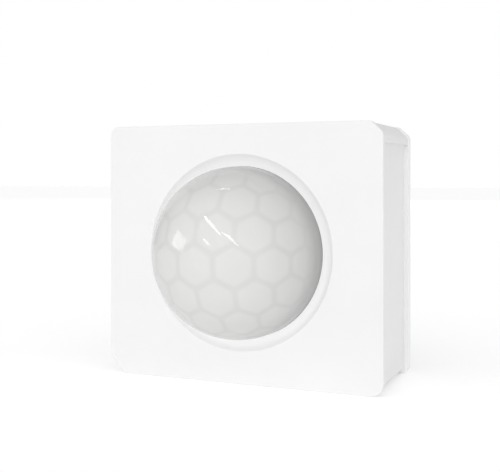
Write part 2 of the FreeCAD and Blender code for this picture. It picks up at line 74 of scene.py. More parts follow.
def add_camera():
    data = bpy.data.cameras.new("camera")
    data.sensor_width = SENSOR
    data.lens = FOCAL * SENSOR
    data.shift_y = HORIZON - FRAME_SHAPE / 2
    data.clip_start = 0.005
    data.clip_end = 50
    camera = bpy.data.objects.new("camera", data)
    camera.location = (CAMERA_RIGHT, FACE_Y - CAMERA_FRONT, MIDDLE_Z + CAMERA_UP)
    camera.rotation_euler = (math.radians(90), 0, CAMERA_TURN)
    bpy.context.scene.collection.objects.link(camera)
    bpy.context.scene.camera = camera


def towards(turn, rise):
    """Unit vector from the lens, turn degrees to the right of straight ahead and rise degrees up."""
    turn, rise = math.radians(turn), math.radians(rise)
    return Vector((math.sin(turn) * math.cos(rise), -math.cos(turn) * math.cos(rise), math.sin(rise)))


def add_world(level, key, key_place):
    """White surroundings, seen as plain white; their light goes from level + key to level - key.

    It is strongest from key_place (turn, rise) and weakest from the opposite side.
    """
    world = bpy.data.worlds.new("studio")
    world.use_nodes = True
    tree = world.node_tree
    place = tree.nodes.new("ShaderNodeTexCoord")
    facing = tree.nodes.new("ShaderNodeVectorMath")
    facing.operation = "DOT_PRODUCT"
    facing.inputs[1].default_value = towards(*key_place)
    tree.links.new(place.outputs["Generated"], facing.inputs[0])
    lit = tree.nodes.new("ShaderNodeMapRange")
    lit.inputs["From Min"].default_value = -1
    lit.inputs["From Max"].default_value = 1
    lit.inputs["To Min"].default_value = level - key
    lit.inputs["To Max"].default_value = level + key
    tree.links.new(facing.outputs["Value"], lit.inputs["Value"])
    light = tree.nodes["Background"]
    light.inputs["Color"].default_value = (1, 1, 1, 1)
    tree.links.new(lit.outputs["Result"], light.inputs["Strength"])
    seen = tree.nodes.new("ShaderNodeBackground")
    seen.inputs["Color"].default_value = (1, 1, 1, 1)
    rays = tree.nodes.new("ShaderNodeLightPath")
    mix = tree.nodes.new("ShaderNodeMixShader")
    tree.links.new(rays.outputs["Is Camera Ray"], mix.inputs["Fac"])
    tree.links.new(light.outputs["Background"], mix.inputs[1])
    tree.links.new(seen.outputs["Background"], mix.inputs[2])
    tree.links.new(mix.outputs["Shader"], tree.nodes["World Output"].inputs["Surface"])
    bpy.context.scene.world = world


def add_lamp(name, turn, rise, far, size, glow, spin=0.0, shape="RECTANGLE"):
    """Area light aimed at the lens; glow is its brightness, spin turns it about its own beam."""
    data = bpy.data.lights.new(name, "AREA")
    data.shape = shape
    data.size, data.size_y = size
    area = size[0] * size[1] * (math.pi / 4 if shape == "ELLIPSE" else 1)
    data.energy = glow * math.pi * area
    light = bpy.data.objects.new(name, data)
    beam = towards(turn, rise)
    light.location = LENS_CENTRE + beam * far
    aim = (-beam).to_track_quat("-Z", "Y").to_matrix().to_4x4()
    aim = aim @ aim.Rotation(math.radians(spin), 4, "Z")
    light.rotation_euler = aim.to_euler()
    bpy.context.scene.collection.objects.link(light)
    return light


def add_glints():
    """Small lamps that only show as reflections, each (name, turn, rise, size, glow, spin, shape)."""
    lamps = (
        ("upper_streak", -18, 37, (0.034, 0.40), 20, 58, "ELLIPSE"),
        ("lower_streak", 13, 22, (0.03, 0.29), 18, 50, "ELLIPSE"),
        ("short_streak", -18, 15, (0.022, 0.17), 15, 55, "ELLIPSE"),
        ("side_window", -61, 11, (0.23, 0.155), 7, -14, "RECTANGLE"),
        ("overhead_streak", -99, 75, (0.018, 0.15), 12, 10, "ELLIPSE"),
    )
    for name, turn, rise, size, glow, spin, shape in lamps:
        lamp = add_lamp(name, turn, rise, GLINT_FAR, size, glow, spin, shape)
        lamp.visible_diffuse = False


def add_floor(half):
    """Pale square floor that reaches half metres each way."""
    mesh = bpy.data.meshes.new("floor")
    corners = [(-half, -half, 0), (half, -half, 0), (half, half, 0), (-half, half, 0)]
    mesh.from_pydata(corners, [], [(0, 1, 2, 3)])
    floor = bpy.data.objects.new("floor", mesh)
    white, _, shader = new_material("floor_white", (0.95, 0.95, 0.95), 0.9, 0.0)
    shader.inputs["Emission Color"].default_value = (1, 1, 1, 1)
    shader.inputs["Emission Strength"].default_value = FLOOR_GLOW
    floor.data.materials.append(white)
    bpy.context.scene.collection.objects.link(floor)


# ---- material helpers ----
def new_material(name, colour, roughness, specular=0.5):
    """A material with one Principled shader; returns it with its node tree and the shader."""
    made = bpy.data.materials.new(name)
    made.use_nodes = True
    tree = made.node_tree
    shader = tree.nodes["Principled BSDF"]
    shader.inputs["Base Color"].default_value = (*colour, 1)
    shader.inputs["Roughness"].default_value = roughness
    shader.inputs["Specular IOR Level"].default_value = specular
    return made, tree, shader


def object_place(tree, stretch=(1, 1, 1), centre=(0, 0, 0)):
    """Object-space position measured from centre, each axis multiplied by stretch."""
    place = tree.nodes.new("ShaderNodeTexCoord")
    shift = tree.nodes.new("ShaderNodeMapping")
    shift.inputs["Location"].default_value = [-c * s for c, s in zip(centre, stretch)]
    shift.inputs["Scale"].default_value = stretch
    tree.links.new(place.outputs["Object"], shift.inputs["Vector"])
    return shift.outputs["Vector"]


def noise(tree, size, detail=2.0, stretch=(1, 1, 1)):
    """Noise whose blobs are about size metres across."""
    texture = tree.nodes.new("ShaderNodeTexNoise")
    texture.inputs["Scale"].default_value = 1 / size
    texture.inputs["Detail"].default_value = detail
    tree.links.new(object_place(tree, stretch), texture.inputs["Vector"])
    return texture.outputs["Fac"]


def cells(tree, size):
    """Rounded cells about size metres across, dark in their middles."""
    texture = tree.nodes.new("ShaderNodeTexVoronoi")
    texture.inputs["Scale"].default_value = 1 / size
    tree.links.new(object_place(tree), texture.inputs["Vector"])
    return texture.outputs["Distance"]


def waves(tree, pitch, direction, rings=False, centre=(0, 0, 0), distortion=0.0):
    """Fine parallel lines across direction, or rings round it, pitch metres apart."""
    texture = tree.nodes.new("ShaderNodeTexWave")
    texture.wave_type = "RINGS" if rings else "BANDS"
    if rings:
        texture.rings_direction = direction
    else:
        texture.bands_direction = direction
    texture.inputs["Scale"].default_value = math.pi / 10 / pitch
    texture.inputs["Distortion"].default_value = distortion
    tree.links.new(object_place(tree, centre=centre), texture.inputs["Vector"])
    return texture.outputs["Fac"]


def ramp(tree, source, stops):
    """Colour ramp through stops of (position, colour)."""
    node = tree.nodes.new("ShaderNodeValToRGB")
    elements = node.color_ramp.elements
    while len(elements) < len(stops):
        elements.new(0.5)
    for element, (position, colour) in zip(elements, stops):
        element.position = position
        element.color = (*colour, 1)
    tree.links.new(source, node.inputs["Fac"])
    return node.outputs["Color"]


def vary(tree, source, colour, drift):
    """Colour that wanders by the fraction drift about its own value as source goes from 0.3 to 0.7."""
    low = [c * (1 - drift) for c in colour]
    high = [min(1, c * (1 + drift)) for c in colour]
    return ramp(tree, source, [(0.3, low), (0.7, high)])


def blend(tree, kind, factor, first, second):
    """Two colours mixed; factor is a number or a socket."""
    node = tree.nodes.new("ShaderNodeMix")
    node.data_type = "RGBA"
    node.blend_type = kind
    if isinstance(factor, float):
        node.inputs["Factor"].default_value = factor
    else:
        tree.links.new(factor, node.inputs["Factor"])
    tree.links.new(first, node.inputs["A"])
    tree.links.new(second, node.inputs["B"])
    return node.outputs["Result"]


def bump(tree, shader, height, strength, distance):
    node = tree.nodes.new("ShaderNodeBump")
    node.inputs["Strength"].default_value = strength
    node.inputs["Distance"].default_value = distance
    tree.links.new(height, node.inputs["Height"])
    tree.links.new(node.outputs["Normal"], shader.inputs["Normal"])


# ---- materials ----
def moulded(name, colour, roughness, grain=0.12 * MM, depth=0.004 * MM, drift=0.012, specular=0.5):
    """Moulded plastic: a fine spark-eroded grain and a slight drift in colour and gloss."""
    made, tree, shader = new_material(name, colour, roughness, specular)
    tree.links.new(vary(tree, noise(tree, 8 * MM, 3), colour, drift), shader.inputs["Base Color"])
    gloss = vary(tree, noise(tree, 1.1 * MM), [roughness] * 3, 0.08)
    tree.links.new(gloss, shader.inputs["Roughness"])
    bump(tree, shader, noise(tree, grain), 0.5, depth)
    return made


def plated(name, colour, roughness, stretch=(1, 1, 1), grain=0.2 * MM, depth=0.002 * MM):
    """Rolled and plated metal: fine scratches drawn out along the short axis of stretch."""
    made, tree, shader = new_material(name, colour, roughness)
    shader.inputs["Metallic"].default_value = 1.0
    tree.links.new(vary(tree, noise(tree, 3 * MM, 4), colour, 0.06), shader.inputs["Base Color"])
    scratches = noise(tree, grain, 4, stretch)
    tree.links.new(vary(tree, scratches, [roughness] * 3, 0.25), shader.inputs["Roughness"])
    bump(tree, shader, scratches, 0.4, depth)
    return made


def turned_metal(name, colour, roughness, centre):
    """Drawn metal can: fine rings round its own axis and a few scuffs."""
    made, tree, shader = new_material(name, colour, roughness)
    shader.inputs["Metallic"].default_value = 1.0
    rings = waves(tree, 0.4 * MM, "Y", True, centre, 0.3)
    scuffs = noise(tree, 1.5 * MM, 5)
    tree.links.new(vary(tree, scuffs, colour, 0.05), shader.inputs["Base Color"])
    tree.links.new(vary(tree, scuffs, [roughness] * 3, 0.3), shader.inputs["Roughness"])
    bump(tree, shader, rings, 0.2, 0.001 * MM)
    return made


def laminate():
    """Green solder mask over woven glass."""
    made, tree, shader = new_material("board_laminate", (0.012, 0.13, 0.05), 0.32)
    weave = blend(tree, "MULTIPLY", 1.0, waves(tree, 0.5 * MM, "X"), waves(tree, 0.5 * MM, "Z"))
    patches = vary(tree, noise(tree, 5 * MM, 3), (0.012, 0.13, 0.05), 0.15)
    threads = ramp(tree, weave, [(0.0, (0.86, 0.86, 0.86)), (1.0, (1, 1, 1))])
    tree.links.new(blend(tree, "MULTIPLY", 1.0, patches, threads), shader.inputs["Base Color"])
    bump(tree, shader, weave, 0.3, 0.004 * MM)
    return made


def foam():
    made, tree, shader = new_material("pad_foam", (0.78, 0.78, 0.76), 0.85, 0.2)
    open_cells = cells(tree, 0.16 * MM)
    # painted shade: the colour is darker in the middle of each cell, where the bump sinks it
    colour = ramp(tree, open_cells, [(0.0, (0.6, 0.6, 0.58)), (0.5, (0.8, 0.8, 0.78))])
    tree.links.new(colour, shader.inputs["Base Color"])
    bump(tree, shader, open_cells, 0.8, 0.03 * MM)
    return made


def paper():
    """Waxed release paper: faint fibres, uneven gloss and a cool tint."""
    made, tree, shader = new_material("liner_paper", (0.74, 0.8, 0.84), 0.38)
    fibres = noise(tree, 0.35 * MM, 6, (1, 1, 5))
    cloud = vary(tree, noise(tree, 4 * MM, 4), (0.74, 0.8, 0.84), 0.03)
    threads = ramp(tree, fibres, [(0.35, (0.93, 0.94, 0.95)), (0.65, (1, 1, 1))])
    tree.links.new(blend(tree, "MULTIPLY", 1.0, cloud, threads), shader.inputs["Base Color"])
    tree.links.new(vary(tree, noise(tree, 2 * MM, 3), [0.38] * 3, 0.2), shader.inputs["Roughness"])
    bump(tree, shader, fibres, 0.4, 0.006 * MM)
    return made


def dress(material, *names):
    """Give whole CAD nodes a material."""
    for name in names:
        slots = nodes[name].data.materials
        slots.clear()
        slots.append(material)


# ---- mesh helpers ----
def add_piece(name, mesh, materials, body, slot, *replaced):
    """Object in the scene that rides on a body and hides the nodes it stands for; its slot argument is not
    used.
    """
    piece = bpy.data.objects.new(name, mesh)
    for material in materials:
        mesh.materials.append(material)
    bpy.context.scene.collection.objects.link(piece)
    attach(piece, body)
    if replaced:
        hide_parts(*replaced)
    return piece


def mesh_from(bm, name):
    bmesh.ops.recalc_face_normals(bm, faces=bm.faces)
    mesh = bpy.data.meshes.new(name)
    bm.to_mesh(mesh)
    bm.free()
    return mesh


def add_block(bm, low, high, bevel, material=0):
    """Box from corner low to corner high with rounded edges.

    It is rounded in a mesh of its own, so that what is added next comes in the same order each run.
    """
    block = bmesh.new()
    for corner in bmesh.ops.create_cube(block, size=1)["verts"]:
        corner.co = [l + (c + 0.5) * (h - l) for l, c, h in zip(low, corner.co, high)]
    bmesh.ops.bevel(block, geom=list(block.edges), offset=bevel, segments=2, profile=0.5, affect="EDGES")
    for face in block.faces:
        face.material_index = material
    mesh = bpy.data.meshes.new("block")
    block.to_mesh(mesh)
    block.free()
    bm.from_mesh(mesh)
    bpy.data.meshes.remove(mesh)


def add_slab(bm, outline, back, front, material=0):
    """Flat prism on an outline of (across, up) points, between two depths."""
    rings = [[bm.verts.new((x, y, z)) for x, z in outline] for y in (back, front)]
    count = len(outline)
    faces = [bm.faces.new(rings[0]), bm.faces.new(list(reversed(rings[1])))]
    for i in range(count):
        j = (i + 1) % count
        faces.append(bm.faces.new((rings[0][j], rings[0][i], rings[1][i], rings[1][j])))
    for face in faces:
        face.material_index = material


def ribbon(points, width):
    """Outline of a line of the given width through (across, up) points, mitred at its bends."""
    route = [Vector(p) for p in points]
    left, right = [], []
    for index, point in enumerate(route):
        before = (point - route[index - 1]).normalized() if index else None
        after = (route[index + 1] - point).normalized() if index + 1 < len(route) else None
        before = before or after
        after = after or before
        side = Vector((-(before.y + after.y), before.x + after.x)).normalized()
        reach = width / 2 / max(0.4, side.dot(Vector((-after.y, after.x))))
        left.append(point + side * reach)
        right.append(point - side * reach)
    return [tuple(p) for p in left + right[::-1]]


def solid_boxes(name):
    """Lowest and highest corners of each separate solid in a node, from left to right."""
    mesh = nodes[name].data
    places = [tuple(round(c / MM, 3) for c in v.co) for v in mesh.vertices]
    first = {}
    group = [first.setdefault(place, index) for index, place in enumerate(places)]

    def root(index):
        while group[index] != index:
            group[index] = group[group[index]]
            index = group[index]
        return index

    for edge in mesh.edges:
        group[root(edge.vertices[0])] = root(edge.vertices[1])
    found = {}
    for vertex in mesh.vertices:
        found.setdefault(root(vertex.index), []).append(vertex.co)
    boxes = [[Vector(pick(c) for c in zip(*points)) for pick in (min, max)] for points in found.values()]
    return sorted(boxes, key=lambda box: tuple(box[0]))


def turn_outwards(mesh):
    bm = bmesh.new()
    bm.from_mesh(mesh)
    bmesh.ops.recalc_face_normals(bm, faces=bm.faces)
    bm.to_mesh(mesh)
    bm.free()


# ---- lens ----
FACET_PITCH = math.radians(24.9)
FACET_OFFSET = (math.radians(-4.7), math.radians(-4.3))
BORDER_START = math.radians(3.0)        # the border begins to show this far inside a facet's edge
BORDER_FULL = math.radians(0.5)
CORNER_SOFTNESS = math.radians(0.7)     # how far a facet's corners are rounded off
BORDER_FADE = (math.radians(62), math.radians(84))
FACET_GROOVE = 0.15 * MM                # cut on the inside
ZONE_PITCH = 0.28 * MM                  # between the fine rings of one facet
LENS_THICK = 0.6 * MM
FLANGE_THICK = 0.8 * MM
FACET_REACH = 5                         # rows and columns of facets each way from the middle one
RINGS = 120
INNER_RINGS = 40
SPOKES = 480
# (degrees of tilt from the lens axis, base-colour tone): painted shade, darker towards the rim
LENS_RIM_SHADE = ((0, 0.725), (25, 0.71), (40, 0.685), (60, 0.62), (70, 0.57), (80, 0.45), (90, 0.34))
LENS_TINT = (1.0, 1.0, 0.99)
BORDER_SHADE = 0.94
LENS_GLOSS = 0.03
LENS_SPECULAR = 0.16


def facet_marks(across, up):
    """For points on the unrolled dome: border strength, 0 to 1, and distance from the facet's centre."""
    row = FACET_PITCH * math.sqrt(3) / 2
    best = np.full(across.shape, 1e9)
    aside = np.zeros(across.shape)
    above = np.zeros(across.shape)
    for j in range(-FACET_REACH, FACET_REACH + 1):
        for i in range(-FACET_REACH, FACET_REACH + 1):
            x = across - FACET_OFFSET[0] - (i + 0.5 * (j % 2)) * FACET_PITCH
            y = up - FACET_OFFSET[1] - j * row
            far = np.hypot(x, y)
            nearer = far < best
            best = np.where(nearer, far, best)
            aside = np.where(nearer, x, aside)
            above = np.where(nearer, y, above)
    sides = [aside * math.cos(a) + above * math.sin(a) for a in np.radians(range(0, 360, 60))]
    reach = CORNER_SOFTNESS * np.log(sum(np.exp(side / CORNER_SOFTNESS) for side in sides))
    inside = FACET_PITCH / 2 - reach
    border = np.clip((BORDER_START - inside) / (BORDER_START - BORDER_FULL), 0, 1)
    return border * border * (3 - 2 * border), best


def lens_profile():
    """Rings of the lens as (radius, back, angle from the axis), outside from the tip, then the inside."""
    flange_back = lens_high.y - FACE_Y
    flange_front = flange_back - FLANGE_THICK
    flange = (lens_high.x - lens_low.x) / 2
    inner = LENS_RADIUS - LENS_THICK
    angles = [math.pi / 2 * (i + 1) / RINGS for i in range(RINGS)]
    rings = [(LENS_RADIUS * math.sin(a), -LENS_RADIUS * math.cos(a), a) for a in angles]
    steps = ((LENS_RADIUS, flange_front), (flange, flange_front), (flange, flange_back), (inner, flange_back))
    rings += [(radius, back, math.pi / 2) for radius, back in steps]
    coarse = [math.pi / 2 * (1 - i / INNER_RINGS) for i in range(INNER_RINGS)]
    rings += [(inner * math.sin(a), -inner * math.cos(a), a) for a in coarse]
    return rings


def build_lens():
    """Closed shell of the lens; its points carry the facet borders, the fine rings and their tilt."""
    rings = lens_profile()
    turns = np.linspace(0, 2 * math.pi, SPOKES, endpoint=False)
    points, borders, zones, tilts = [], [], [], []
    for index, (radius, back, angle) in enumerate(rings):
        border, zone = facet_marks(angle * np.cos(turns), angle * np.sin(turns))
        inside = index > RINGS + 4
        scales = 1 + FACET_GROOVE / LENS_RADIUS * border if inside else np.ones(SPOKES)
        border = border * min(1, max(0, (BORDER_FADE[1] - angle) / (BORDER_FADE[1] - BORDER_FADE[0])))
        for turn, scale in zip(turns, scales):
            points.append((radius * math.cos(turn) * scale, FACE_Y + back * scale,
                           LENS_CENTRE.z + radius * math.sin(turn) * scale))
        borders += list(border)
        zones += list(zone * LENS_RADIUS / ZONE_PITCH)
        tilts += [angle / (math.pi / 2)] * SPOKES
    tip = len(points)
    points.append((0, FACE_Y - LENS_RADIUS, LENS_CENTRE.z))
    points.append((0, FACE_Y - LENS_RADIUS + LENS_THICK, LENS_CENTRE.z))
    borders += [0, 0]
    zones += [math.hypot(*FACET_OFFSET) * LENS_RADIUS / ZONE_PITCH] * 2
    tilts += [0, 0]
    faces = []
    for ring in range(len(rings) - 1):
        for spoke in range(SPOKES):
            after = (spoke + 1) % SPOKES
            low = ring * SPOKES
            high = low + SPOKES
            faces.append((low + spoke, low + after, high + after, high + spoke))
    last = (len(rings) - 1) * SPOKES
    for spoke in range(SPOKES):
        after = (spoke + 1) % SPOKES
        faces.append((tip, after, spoke))
        faces.append((tip + 1, last + spoke, last + after))
    mesh = bpy.data.meshes.new("faceted_lens")
    mesh.from_pydata(points, [], faces)
    for name, values in (("facet_border", borders), ("facet_zone", zones), ("lens_tilt", tilts)):
        mesh.attributes.new(name, "FLOAT", "POINT").data.foreach_set("value", values)
    turn_outwards(mesh)
    mesh.shade_smooth()
    return mesh


def attribute(tree, name):
    node = tree.nodes.new("ShaderNodeAttribute")
    node.attribute_name = name
    return node.outputs["Fac"]


def lens_material():
    """Milky plastic, greyer towards the rim by tilt from the lens axis, partly for the thicker plastic there
    and partly painted shade; greyer along the facet borders.
    """
    made, tree, shader = new_material("milky_lens", (0.8, 0.8, 0.79), LENS_GLOSS, LENS_SPECULAR)
    stops = [(angle / 90, [tone * c for c in LENS_TINT]) for angle, tone in LENS_RIM_SHADE]
    # painted shade: the base colour darkens with tilt from the lens axis towards the rim
    depth = ramp(tree, attribute(tree, "lens_tilt"), stops)
    lines = ramp(tree, attribute(tree, "facet_border"), [(0, (1, 1, 1)), (1, (BORDER_SHADE,) * 3)])
    ripple = tree.nodes.new("ShaderNodeMath")
    ripple.operation = "PINGPONG"
    ripple.inputs[1].default_value = 0.5
    tree.links.new(attribute(tree, "facet_zone"), ripple.inputs[0])
    rings = ramp(tree, ripple.outputs["Value"], [(0, (0.992, 0.992, 0.992)), (0.5, (1, 1, 1))])
    clouds = vary(tree, noise(tree, 2.5 * MM, 3), (0.99, 0.99, 0.99), 0.01)
    shade = blend(tree, "MULTIPLY", 1.0, blend(tree, "MULTIPLY", 1.0, lines, rings), clouds)
    tree.links.new(blend(tree, "MULTIPLY", 1.0, depth, shade), shader.inputs["Base Color"])
    return made


# ---- chips, tracks and marks on the circuit board ----
CAP_LENGTH = 0.3 * MM                   # tinned end of a chip
BODY_SHORT = 0.8                        # the body stops this share of a cap short of each end
BODY_INSET = 0.02 * MM                  # of the body from the caps' sides
BODY_ROUND = 0.03 * MM
CAP_ROUND = 0.06 * MM
SOLDER_REACH = 0.32 * MM
SOLDER_ROOT = 0.02 * MM                 # solder starts this far inside the cap
SOLDER_SIDE = 0.1 * MM                  # it ends this far past a cap's sides and is full this far inside them
SOLDER_TAPER = 0.6                      # share of its full size left at the sides
SOLDER_BEND = (0.35, 0.25)              # shares of its reach and of the chip's height
SOLDER_TOP = 0.7                        # how far up the cap it climbs
STRIPE_START = 1.5                      # of cap lengths from the chip's end
STRIPE_END = 2.9
STRIPE_DEPTH = 0.1 * MM
STRIPE_SIDE = 0.1 * MM
STRIPE_SUNK = 0.005 * MM                # below the chip's higher side, so that the faces do not meet
STRIPE_ROUND = 0.01 * MM
SKIN = 0.03 * MM                        # print stands this far above the board
TRACK_SKIN = 0.6                        # shares of SKIN for the tracks and the pads
PAD_SKIN = 0.7
VIA_RADIUS = 0.38 * MM
TEST_PAD_RADIUS = 0.6 * MM
SCREW_PAD_RADIUS = 2.0 * MM
LAND_END = 0.08 * MM                    # a land shows past the solder and past the chip's sides
LAND_SIDE = 0.12 * MM
PRINT_GAP = 0.28 * MM
PRINT_WIDTH = 0.13 * MM
TRACK_WIDTH = 0.3 * MM
TRAY_SHARE = 0.6                        # of the crystal's height
TRAY_ROUND = 0.05 * MM
LID_INSET = 0.12 * MM
LID_OVERLAP = 0.05 * MM
LID_ROUND = 0.08 * MM
BODY, TIN, MARK = 0, 1, 2               # material slots of a chip

# routes on the back of the board, (across, up) from its middle in millimetres
REAR_TRACKS = (
    ((9.2, 14.2), (10.2, 14.2), (10.7, 13.7), (10.9, 13.7)),
    ((5.6, 14.2), (4.8, 14.2), (4.2, 14.8), (-6.0, 14.8), (-6.8, 14.0)),
    ((-8.9, 13.8), (-9.5, 13.8)),
    ((-11.3, 13.8), (-12.6, 13.8), (-12.9, 14.1), (-16.6, 14.1), (-17.1, 13.6), (-17.1, 9.0), (-16.8, 8.7)),
    ((-11.7, 10.8), (-11.2, 11.3), (-11.2, 13.2), (-11.3, 13.5)),
    ((-13.5, 9.4), (-14.3, 9.4), (-15.0, 8.7)),
    ((-13.5, 10.8), (-13.9, 10.8), (-14.4, 10.3), (-14.4, 7.0), (-14.9, 6.5)),
    ((-16.8, 6.4), (-17.2, 6.0), (-17.2, 3.4), (-16.6, 2.9)),
    ((-15.0, -2.6), (-15.0, -6.9)),
    ((-16.6, -2.6), (-17.1, -3.1), (-17.1, -8.6), (-16.4, -9.3), (-16.4, -10.6)),
    ((-12.5, -11.4), (-11.8, -12.1), (-11.8, -13.4), (-10.6, -14.6), (6.4, -14.6), (7.2, -13.9)),
    ((9.3, -13.8), (9.9, -13.8)),
    ((11.7, -13.8), (12.5, -13.0), (12.5, -9.6), (13.8, -8.3), (13.8, -6.7), (14.2, -6.3), (14.9, -6.2)),
    ((16.7, -6.2), (17.2, -6.7), (17.2, -10.2)),
    ((14.9, -4.6), (14.4, -4.1), (14.4, -1.9)),
    ((16.7, -4.6), (17.2, -4.1), (17.2, -2.4), (16.8, -1.9)),
    ((14.4, 2.9), (13.7, 3.6), (13.7, 8.0)),
    ((14.7, 6.5), (14.7, 8.0)),
    ((16.3, 6.5), (16.3, 8.0)),
    ((17.2, 2.9), (17.5, 3.2), (17.5, 7.4), (17.0, 8.0)),
)
VIAS = ((-14.4, 12.0), (-12.9, -9.9), (12.3, 10.0), (13.2, 6.4), (12.9, -7.6), (-13.4, 7.4), (2.0, 14.8),
        (-2.4, -14.6), (3.6, -14.6), (-17.1, -5.0))
TEST_PADS = ((-16.8, -13.9), (-14.9, -13.9), (17.0, -14.6), (4.2, 14.2), (2.2, 14.0))


def print_frame(bm, low, high, depth):
    """White printed outline round a part, one line on each side."""
    left, right = low.x - PRINT_GAP, high.x + PRINT_GAP
    bottom, top = low.z - PRINT_GAP, high.z + PRINT_GAP
    half = PRINT_WIDTH / 2
    for x0, z0, x1, z1 in ((left, bottom, right, bottom), (left, top, right, top),
                           (left, bottom, left, top), (right, bottom, right, top)):
        low_x, high_x = x0 - half, x1 + half
        low_z, high_z = z0 - half, z1 + half
        outline = [(low_x, low_z), (high_x, low_z), (high_x, high_z), (low_x, high_z)]
        add_slab(bm, outline, *depth)


def round_outline(centre, radius, steps=20):
    return [(centre[0] + radius * math.cos(2 * math.pi * i / steps),
             centre[1] + radius * math.sin(2 * math.pi * i / steps)) for i in range(steps)]


def add_solder(bm, end, side, low, high, foot, climb):
    """Solder at one end of a chip, from its foot on the board up the cap by climb, tapered at its sides."""
    bend_out, bend_up = SOLDER_BEND
    profile = [(end - side * SOLDER_ROOT, foot), (end + side * SOLDER_REACH, foot),
               (end + side * SOLDER_REACH * bend_out, foot + climb * bend_up),
               (end - side * SOLDER_ROOT, foot + climb * SOLDER_TOP)]
    rings = []
    for z, spread in ((low.z - SOLDER_SIDE, SOLDER_TAPER), (low.z + SOLDER_SIDE, 1),
                      (high.z - SOLDER_SIDE, 1), (high.z + SOLDER_SIDE, SOLDER_TAPER)):
        ring = [(end + (x - end) * spread, foot + (y - foot) * spread) for x, y in profile]
        rings.append([bm.verts.new((x, y, z)) for x, y in ring])
    skin = [rings[0], rings[-1][::-1]]
    for near, next_ring in zip(rings, rings[1:]):
        for i in range(len(profile)):
            j = (i + 1) % len(profile)
            skin.append([near[j], near[i], next_ring[i], next_ring[j]])
    for corners in skin:
        bm.faces.new(corners).material_index = TIN


def add_stripe(bm, low, high, outer, rise):
    """Printed stripe near one end of a chip, let into its outer face."""
    inner = outer - rise * STRIPE_DEPTH
    left = low.x + CAP_LENGTH * STRIPE_START
    right = low.x + CAP_LENGTH * STRIPE_END
    stripe_low = Vector((left, min(outer, inner), low.z + STRIPE_SIDE))
    stripe_high = Vector((right, max(outer, inner) - STRIPE_SUNK, high.z - STRIPE_SIDE))
    add_block(bm, stripe_low, stripe_high, STRIPE_ROUND, MARK)


def add_chip(bm, low, high, mark=False):
    """Chip with a tinned cap at each end and solder that climbs from the board up to the caps."""
    rear = low.y >= board_high.y - SKIN
    foot = board_high.y if rear else board_low.y
    rise = 1 if rear else -1
    inset = Vector((CAP_LENGTH * BODY_SHORT, BODY_INSET, BODY_INSET))
    add_block(bm, low + inset, high - inset, BODY_ROUND, BODY)
    for end, side in ((low.x, -1), (high.x, 1)):
        cap_low = Vector((min(end, end - side * CAP_LENGTH), low.y, low.z))
        cap_high = Vector((max(end, end - side * CAP_LENGTH), high.y, high.z))
        add_block(bm, cap_low, cap_high, CAP_ROUND, TIN)
        add_solder(bm, end, side, low, high, foot, rise * (high.y - low.y))
    if mark:
        add_stripe(bm, low, high, high.y if rear else low.y, rise)


def build_chips(name, node, slot, body, tinning, mark=None):
    """Detailed stand-in for every chip in a node."""
    bm = bmesh.new()
    for low, high in solid_boxes(node):
        add_chip(bm, low, high, mark is not None)
    materials = [body, tinning] + ([mark] if mark else [])
    add_piece(name, mesh_from(bm, name), materials, "housing", slot, node)


def build_tracks(copper):
    """Copper under the solder mask: the routes, with a ring at each via."""
    bm = bmesh.new()
    depth = (board_high.y, board_high.y + SKIN * TRACK_SKIN)
    for route in REAR_TRACKS:
        points = [(across * MM, MIDDLE_Z + up * MM) for across, up in route]
        add_slab(bm, ribbon(points, TRACK_WIDTH), *depth)
    for across, up in VIAS:
        add_slab(bm, round_outline((across * MM, MIDDLE_Z + up * MM), VIA_RADIUS), *depth)
    add_piece("board_tracks", mesh_from(bm, "board_tracks"), [copper], "housing", "board_laminate")


def build_pads(tinning):
    """Bare tinned places: test pads, the ring round each screw and a land under each chip's ends."""
    bm = bmesh.new()
    depth = (board_high.y, board_high.y + SKIN * PAD_SKIN)
    for across, up in TEST_PADS:
        add_slab(bm, round_outline((across * MM, MIDDLE_Z + up * MM), TEST_PAD_RADIUS), *depth)
    for low, high in solid_boxes("board_screws"):
        centre = ((low.x + high.x) / 2, (low.z + high.z) / 2)
        add_slab(bm, round_outline(centre, SCREW_PAD_RADIUS, 40), *depth)
    for node in ("chip_capacitors", "chip_resistors", "chip_antenna", "reservoir_capacitor"):
        for low, high in solid_boxes(node):
            rear = low.y >= board_high.y - SKIN
            near = depth if rear else (board_low.y - SKIN * PAD_SKIN, board_low.y)
            for end, side in ((low.x, -1), (high.x, 1)):
                x0, x1 = sorted((end - side * CAP_LENGTH, end + side * (SOLDER_REACH + LAND_END)))
                z0, z1 = low.z - LAND_SIDE, high.z + LAND_SIDE
                add_slab(bm, [(x0, z0), (x1, z0), (x1, z1), (x0, z1)], *near)
    add_piece("board_pads", mesh_from(bm, "board_pads"), [tinning], "housing", "steel")


def build_print(white):
    """White outlines printed round the parts on the back of the board."""
    bm = bmesh.new()
    depth = (board_high.y, board_high.y + SKIN)
    for node in ("chip_capacitors", "chip_resistors", "chip_antenna", "reservoir_capacitor", "crystal",
                 "pairing_switch", "tamper_switch"):
        for low, high in solid_boxes(node):
            if low.y >= board_high.y - SKIN:
                spread = Vector((0 if "switch" in node else SOLDER_REACH, 0, 0))
                print_frame(bm, low - spread, high + spread, depth)
    add_piece("board_print", mesh_from(bm, "board_print"), [white], "housing", "board_laminate")


def build_crystal(base, lid):
    """Ceramic tray with a metal lid seamed on to it."""
    bm = bmesh.new()
    low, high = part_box("crystal")
    seam = low.y + (high.y - low.y) * TRAY_SHARE
    add_block(bm, low, Vector((high.x, seam, high.z)), TRAY_ROUND, 0)
    inset = Vector((LID_INSET, 0, LID_INSET))
    add_block(bm, Vector((low.x, seam - LID_OVERLAP, low.z)) + inset, high - inset, LID_ROUND, 1)
    add_piece("crystal_can", mesh_from(bm, "crystal_can"), [base, lid], "housing", "steel", "crystal")


